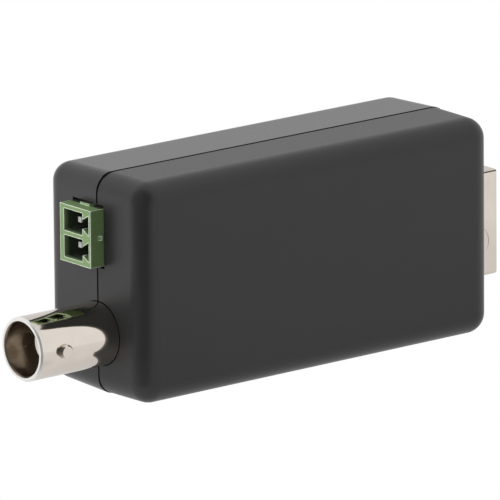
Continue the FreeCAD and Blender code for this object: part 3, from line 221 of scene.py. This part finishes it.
def cell_shade(nodes, links, place):
    """Grows to 1 down the sockets of the header, and on its top where it enters the case."""
    along, across, height = split_axes(nodes, links, place)
    inside = sum_up(
        nodes, links, "MULTIPLY",
        within(nodes, links, across, HEADER_LOW[1] + HEADER_WALL, HEADER_HIGH[1]),
        within(nodes, links, height, HEADER_LOW[2] + HEADER_WALL, HEADER_HIGH[2] - HEADER_WALL * 2),
    )
    depth = ramped(nodes, links, along, (HEADER_LOW[0], HEADER_LOW[0] + 0.0012), (0.0, 0.85))
    entry = ramped(nodes, links, along, (CASE_LOW[0] - 0.0007, CASE_LOW[0] - 0.0001), (0.0, 0.95))
    cell = sum_up(nodes, links, "MULTIPLY", inside, depth)
    seat = sum_up(nodes, links, "MULTIPLY", facing_up(nodes, links), entry)
    return sum_up(nodes, links, "MAXIMUM", cell, seat)


def edges_worn_and_highlit(nodes, links, place):
    """1 along the outer edges of the header, painted pale as a painted edge highlight with some wear, and
    less on its rail.
    """
    height = split_axes(nodes, links, place)[2]
    rail = sum_up(nodes, links, "GREATER_THAN", height, HEADER_HIGH[2] - RAIL_RISE)
    rest = sum_up(nodes, links, "SUBTRACT", 1.0, sum_up(nodes, links, "MULTIPLY", rail, 0.65))
    rounded = nodes.new("ShaderNodeBevel")
    rounded.samples = 8
    rounded.inputs["Radius"].default_value = EDGE_HIGHLIGHT_AND_WEAR
    flat = nodes.new("ShaderNodeNewGeometry")
    agree = vector_step(nodes, links, "DOT_PRODUCT", rounded.outputs["Normal"], flat.outputs["Normal"])
    edge_highlight_and_wear = ramped(nodes, links, agree.outputs["Value"], (0.88, 0.99), (1.0, 0.0))
    return sum_up(nodes, links, "MULTIPLY", edge_highlight_and_wear, rest)


def fold_seam_painted_shade(nodes, links, place):
    """Painted shade: 1 in a thin line along the folded upper edge of the jack shield."""
    _, across, height = split_axes(nodes, links, place)
    top = SHIELD_HIGH[2]
    level = within(nodes, links, height, top - 0.00034, top - 0.00014)
    near = sum_up(nodes, links, "LESS_THAN", across, SHIELD_LOW[1] + 0.0007)
    return sum_up(nodes, links, "MULTIPLY", level, near)


def bore_shade(nodes, links, place):
    """1 inside the coax barrel."""
    _, across, height = split_axes(nodes, links, place)
    side = sum_up(nodes, links, "SUBTRACT", across, PARTING_Y)
    rise = sum_up(nodes, links, "SUBTRACT", height, BARREL_Z)
    squares = [sum_up(nodes, links, "MULTIPLY", part, part) for part in (side, rise)]
    return sum_up(nodes, links, "LESS_THAN", sum_up(nodes, links, "ADD", *squares), BORE_RADIUS ** 2)


def painted_highlight_end(end):
    """A mask for a painted highlight: 1 on the socket side of a place on the X axis."""
    def mask(nodes, links, place):
        along = split_axes(nodes, links, place)[0]
        return sum_up(nodes, links, "LESS_THAN", along, end)

    return mask


def brushed(name, dark, light, rough, stretch, depth, marks=()):
    """Drawn or turned metal: fine lines along the direction that stretch leaves long.

    Each mark is a mask with the colour and roughness that it brings.
    """
    material, nodes, links, shader = shader_graph(name)
    place = object_place(nodes)
    shader.inputs["Metallic"].default_value = 1.0
    clouds = noise(nodes, links, place, 250.0, 3.0)
    colour = tint(nodes, links, clouds, dark, light)
    lines = noise(nodes, links, place, 900.0, 3.0, stretch)
    roughness = spread(nodes, links, lines, rough * 0.7, rough * 1.3)
    for mask, marked, finish in marks:
        share = mask(nodes, links, place)
        colour = mixed(nodes, links, share, colour, (*marked, 1.0))
        roughness = mixed(nodes, links, share, roughness, finish)
    links.new(colour, shader.inputs["Base Color"])
    links.new(roughness, shader.inputs["Roughness"])
    relief(nodes, links, shader, lines, depth)
    return material


def board_lacquer():
    """Solder mask over copper runs: the copper shows as a lighter green."""
    material, nodes, links, shader = shader_graph("board_lacquer")
    place = object_place(nodes)
    cells = nodes.new("ShaderNodeTexBrick")
    cells.inputs["Color1"].default_value = (0.012, 0.075, 0.028, 1.0)
    cells.inputs["Color2"].default_value = (0.016, 0.095, 0.035, 1.0)
    cells.inputs["Mortar"].default_value = (0.03, 0.16, 0.06, 1.0)
    cells.inputs["Scale"].default_value = 700.0
    cells.inputs["Mortar Size"].default_value = 0.03
    turn = nodes.new("ShaderNodeMapping")
    turn.inputs["Rotation"].default_value = (math.pi / 2, 0.0, 0.0)
    links.new(place, turn.inputs["Vector"])
    links.new(turn.outputs["Vector"], cells.inputs["Vector"])
    links.new(cells.outputs["Color"], shader.inputs["Base Color"])
    shader.inputs["Roughness"].default_value = 0.32
    weave = noise(nodes, links, place, 2500.0)
    relief(nodes, links, shader, weave, 0.00001)
    return material


CASE_BLACK = ((0.015, 0.015, 0.0153), (0.018, 0.018, 0.0183))

# Moulded: dark and light colour, roughness, grain in waves a metre, its depth in metres, and patches
# in waves a metre. Brushed: both colours, roughness, how the lines are stretched, and their depth.
MATERIALS = {
    "black_case": moulded(
        "near_plastic", *CASE_BLACK, 0.35, 5200.0, 0.000006,
        # Painted shade in the groove between the shells and along its upper edges.
        gloss=0.49, painted_shade=joint_shade,
    ),
    "nickel_plate": brushed(
        "nickel", (0.70, 0.64, 0.573), (0.74, 0.68, 0.613), 0.06, (0.08, 1.0, 1.0), 0.0000012,
        # The mouth's rim is painted near white as a painted highlight.
        marks=((painted_highlight_end(MOUTH_EDGE), (0.96, 0.95, 0.92), 0.42), (bore_shade, (0.34, 0.27, 0.20), 0.3)),
    ),
    "tin_sheet": brushed(
        "tinned_sheet", (0.66, 0.60, 0.533), (0.725, 0.66, 0.588), 0.24, (1.0, 0.12, 0.12), 0.000002,
        # A near black line of painted shade along the shield's fold.
        marks=((fold_seam_painted_shade, (0.10, 0.09, 0.07), 0.3),),
    ),
    "green_moulding": moulded(
        "green_plastic", (0.150, 0.240, 0.095), (0.168, 0.258, 0.110), 0.40, 3000.0, 0.000008, 300.0,
        # Painted shade in the sockets and where the header enters the case; pale edges as a painted
        # highlight with some wear.
        painted_shade=cell_shade, painted_edges=(0.85, 0.92, 0.78),
    ),
    "black_moulding": moulded(
        "jack_plastic", (0.010, 0.010, 0.011), (0.014, 0.014, 0.015), 0.35, 3500.0, 0.000006
    ),
    "white_insulator": moulded(
        "white_plastic", (0.74, 0.73, 0.68), (0.80, 0.79, 0.75), 0.35, 2500.0, 0.000006
    ),
    "gold_plate": brushed(
        "gold", (0.80, 0.55, 0.20), (0.86, 0.62, 0.26), 0.16, (0.1, 1.0, 1.0), 0.000001
    ),
    "tinned_pin": brushed(
        "tin", (0.72, 0.71, 0.69), (0.78, 0.77, 0.75), 0.20, (0.1, 1.0, 1.0), 0.000002,
        # The pins' tips are painted near white as a painted highlight.
        marks=((painted_highlight_end(PIN_TIPS), (0.98, 0.98, 0.97), 0.65),),
    ),
    "board_laminate": board_lacquer(),
    "chip_package": moulded(
        "epoxy", (0.018, 0.018, 0.019), (0.026, 0.026, 0.027), 0.55, 6000.0, 0.00001, 800.0
    ),
    "ferrite": moulded(
        "ferrite", (0.045, 0.045, 0.05), (0.065, 0.065, 0.07), 0.62, 4000.0, 0.00001, 900.0
    ),
    "can_aluminium": brushed(
        "can", (0.72, 0.73, 0.74), (0.80, 0.80, 0.81), 0.25, (1.0, 0.1, 1.0), 0.000002
    ),
    "white_ceramic": moulded(
        "ceramic", (0.66, 0.62, 0.54), (0.74, 0.70, 0.62), 0.50, 4000.0, 0.000006, 900.0
    ),
    "zinc_steel": moulded(
        "dark_zinc", (0.09, 0.09, 0.10), (0.14, 0.14, 0.15), 0.30, 3000.0, 0.000004, 900.0, 1.0
    ),
}

# The rear shell comes from another mould, and is a little glossier than the near one.
OWN_FINISH = {
    "rear_cover": moulded(
        "rear_plastic", *CASE_BLACK, 0.23, 5200.0, 0.000005,
        # Painted shade in the groove between the shells and along its upper edges.
        gloss=0.53, painted_shade=joint_shade,
    ),
}

for part in frame["record"]["subparts"]:
    node = part["node"]
    shown = NODES[node]
    if not shown.material_slots:
        shown.data.materials.append(None)
    for place in shown.material_slots:
        place.material = OWN_FINISH.get(node) or MATERIALS[part["material_slot"]]


# Studio

WHITE = (1.0, 1.0, 1.0, 1.0)

# The room is darkest in the corner where the photographer stands, and dimmer at the back.
# Directions are a compass angle, counted from -Y towards -X, and an elevation.
DARK_CORNER = (68, 25)
WINDOW_SIDE = (104, 0)
BACK = (195, 10)
# How bright reflections see them, where 1 is white, and how softly the floor's corner begins, in metres.
CORNER_IN_ROOM = 0.1
CORNER_ON_FLOOR = 0.16
BACK_TONE = 0.80
CORNER_FADE = 0.006


def room_tone(nodes, links, towards, darkest):
    """1 in most directions, dimmer towards the dark corner and the back."""
    corner = facing(nodes, links, towards, DARK_CORNER)
    back = facing(nodes, links, towards, BACK)
    return sum_up(
        nodes, links, "MULTIPLY",
        ramped(nodes, links, corner, (0.3, 0.8), (1.0, darkest)),
        ramped(nodes, links, back, (-0.1, 0.9), (1.0, BACK_TONE)),
    )


def aimed(compass, elevation):
    """The direction of a place in the room, seen from the part."""
    compass, elevation = math.radians(compass), math.radians(elevation)
    return Vector((
        -math.sin(compass) * math.cos(elevation),
        -math.cos(compass) * math.cos(elevation),
        math.sin(elevation),
    ))


def facing(nodes, links, towards, wanted):
    """How far a direction points along a wanted one, from -1 to 1."""
    return vector_step(nodes, links, "DOT_PRODUCT", towards, aimed(*wanted)).outputs["Value"]


def light_surroundings():
    """A white room for the camera and for reflections, and soft light from one side for matt surfaces."""
    world = bpy.data.worlds.new("studio")
    bpy.context.scene.world = world
    world.use_nodes = True
    nodes = world.node_tree.nodes
    links = world.node_tree.links
    background = nodes["Background"]
    background.inputs["Color"].default_value = WHITE
    towards = nodes.new("ShaderNodeTexCoord").outputs["Generated"]
    room = room_tone(nodes, links, towards, CORNER_IN_ROOM)
    soft = ramped(nodes, links, facing(nodes, links, towards, WINDOW_SIDE), (0.3, 1.0), (0.08, 4.0))
    path = nodes.new("ShaderNodeLightPath")
    mirrored = sum_up(
        nodes, links, "MAXIMUM",
        path.outputs["Is Glossy Ray"],
        path.outputs["Is Transmission Ray"],
    )
    tone = nodes.new("ShaderNodeMix")
    links.new(mirrored, tone.inputs["Factor"])
    links.new(soft, tone.inputs["A"])
    links.new(room, tone.inputs["B"])
    links.new(
        mixed(nodes, links, path.outputs["Is Camera Ray"], tone.outputs["Result"], 1.0),
        background.inputs["Strength"],
    )


def floor_mesh():
    """A wide sheet just under the part."""
    mesh = bpy.data.meshes.new("floor")
    reach = 6.0
    low = -0.00002
    corners = [(-reach, -reach, low), (reach, -reach, low), (reach, reach, low), (-reach, reach, low)]
    mesh.from_pydata(corners, [], [(0, 1, 2, 3)])
    return mesh


def floor_tone(nodes, links, place):
    """The floor in reflections: a painted shadow near the part, and dimmer from the case's corner towards
    the dark one.
    """
    foot = (CASE_LOW[0], CASE_LOW[1], 0.0)
    corner = vector_step(nodes, links, "SUBTRACT", place, foot).outputs["Vector"]
    length = vector_step(nodes, links, "LENGTH", corner).outputs["Value"]
    share = sum_up(nodes, links, "DIVIDE", 1.0, sum_up(nodes, links, "ADD", length, CORNER_FADE))
    away = vector_step(nodes, links, "SCALE", corner)
    links.new(share, away.inputs["Scale"])
    room = room_tone(nodes, links, away.outputs["Vector"], CORNER_ON_FLOOR)
    footprint = vector_step(nodes, links, "MULTIPLY", place, (1 / 0.05, 1 / 0.02, 0.0)).outputs["Vector"]
    distance = vector_step(nodes, links, "LENGTH", footprint).outputs["Value"]
    painted_contact_shadow = ramped(nodes, links, distance, (0.6, 5.0), (0.86, 1.0))
    return sum_up(nodes, links, "MULTIPLY", painted_contact_shadow, room)


def lay_floor():
    """Plain sheet: white to the camera, toned in reflections, and matt paper to all other light."""
    mesh = floor_mesh()
    floor = bpy.data.objects.new("floor", mesh)
    bpy.context.scene.collection.objects.link(floor)
    material, nodes, links, shader = shader_graph("paper")
    shader.inputs["Base Color"].default_value = (0.55, 0.55, 0.55, 1.0)
    shader.inputs["Roughness"].default_value = 0.9
    tone = floor_tone(nodes, links, object_place(nodes))
    path = nodes.new("ShaderNodeLightPath")
    glow = nodes.new("ShaderNodeEmission")
    glow.inputs["Color"].default_value = WHITE
    seen = path.outputs["Is Camera Ray"]
    links.new(mixed(nodes, links, seen, tone, 1.0), glow.inputs["Strength"])
    shown = sum_up(nodes, links, "MAXIMUM", seen, path.outputs["Is Transmission Ray"])
    shown = sum_up(nodes, links, "MAXIMUM", shown, path.outputs["Is Glossy Ray"])
    blend = nodes.new("ShaderNodeMixShader")
    links.new(shown, blend.inputs["Fac"])
    links.new(shader.outputs["BSDF"], blend.inputs[1])
    links.new(glow.outputs["Emission"], blend.inputs[2])
    links.new(blend.outputs["Shader"], nodes["Material Output"].inputs["Surface"])
    mesh.materials.append(material)


def soft_light(name, compass, elevation, distance, size, power):
    """A soft box aimed at the part."""
    lamp = bpy.data.lights.new(name, "AREA")
    lamp.shape = "SQUARE"
    lamp.size = size
    lamp.energy = power
    towards = aimed(compass, elevation)
    holder = bpy.data.objects.new(name, lamp)
    holder.location = towards * distance
    holder.rotation_euler = towards.to_track_quat("Z", "Y").to_euler()
    holder.visible_glossy = False
    bpy.context.scene.collection.objects.link(holder)


bpy.context.scene.view_settings.view_transform = "Standard"
light_surroundings()
lay_floor()
soft_light("top_box", compass=150, elevation=75, distance=1.1, size=1.2, power=2.5)


# Camera, where the photograph was taken from: fitted to the outlines of the case and its sockets.
AZIMUTH = math.radians(-38.76)
ELEVATION = math.radians(14.47)
ROLL = math.radians(-0.48)
DISTANCE = 1.4184
AIM = Vector((0.003036, 0.001800, 0.016404))
FOCAL_LENGTH = 687.95


def place_camera():
    """The camera that looks at the part as the photograph does."""
    back = Vector((
        math.sin(AZIMUTH) * math.cos(ELEVATION),
        -math.cos(AZIMUTH) * math.cos(ELEVATION),
        math.sin(ELEVATION),
    ))
    level_right = Vector((0, 0, 1)).cross(back).normalized()
    level_up = back.cross(level_right)
    right = level_right * math.cos(ROLL) + level_up * math.sin(ROLL)
    up = level_up * math.cos(ROLL) - level_right * math.sin(ROLL)
    lens = bpy.data.cameras.new("camera")
    lens.sensor_width = 36.0
    lens.lens = FOCAL_LENGTH
    lens.clip_end = 50.0
    camera = bpy.data.objects.new("camera", lens)
    turn = Matrix((right, up, back)).transposed().to_4x4()
    camera.matrix_world = Matrix.Translation(AIM + back * DISTANCE) @ turn
    bpy.context.scene.collection.objects.link(camera)
    bpy.context.scene.camera = camera


place_camera()
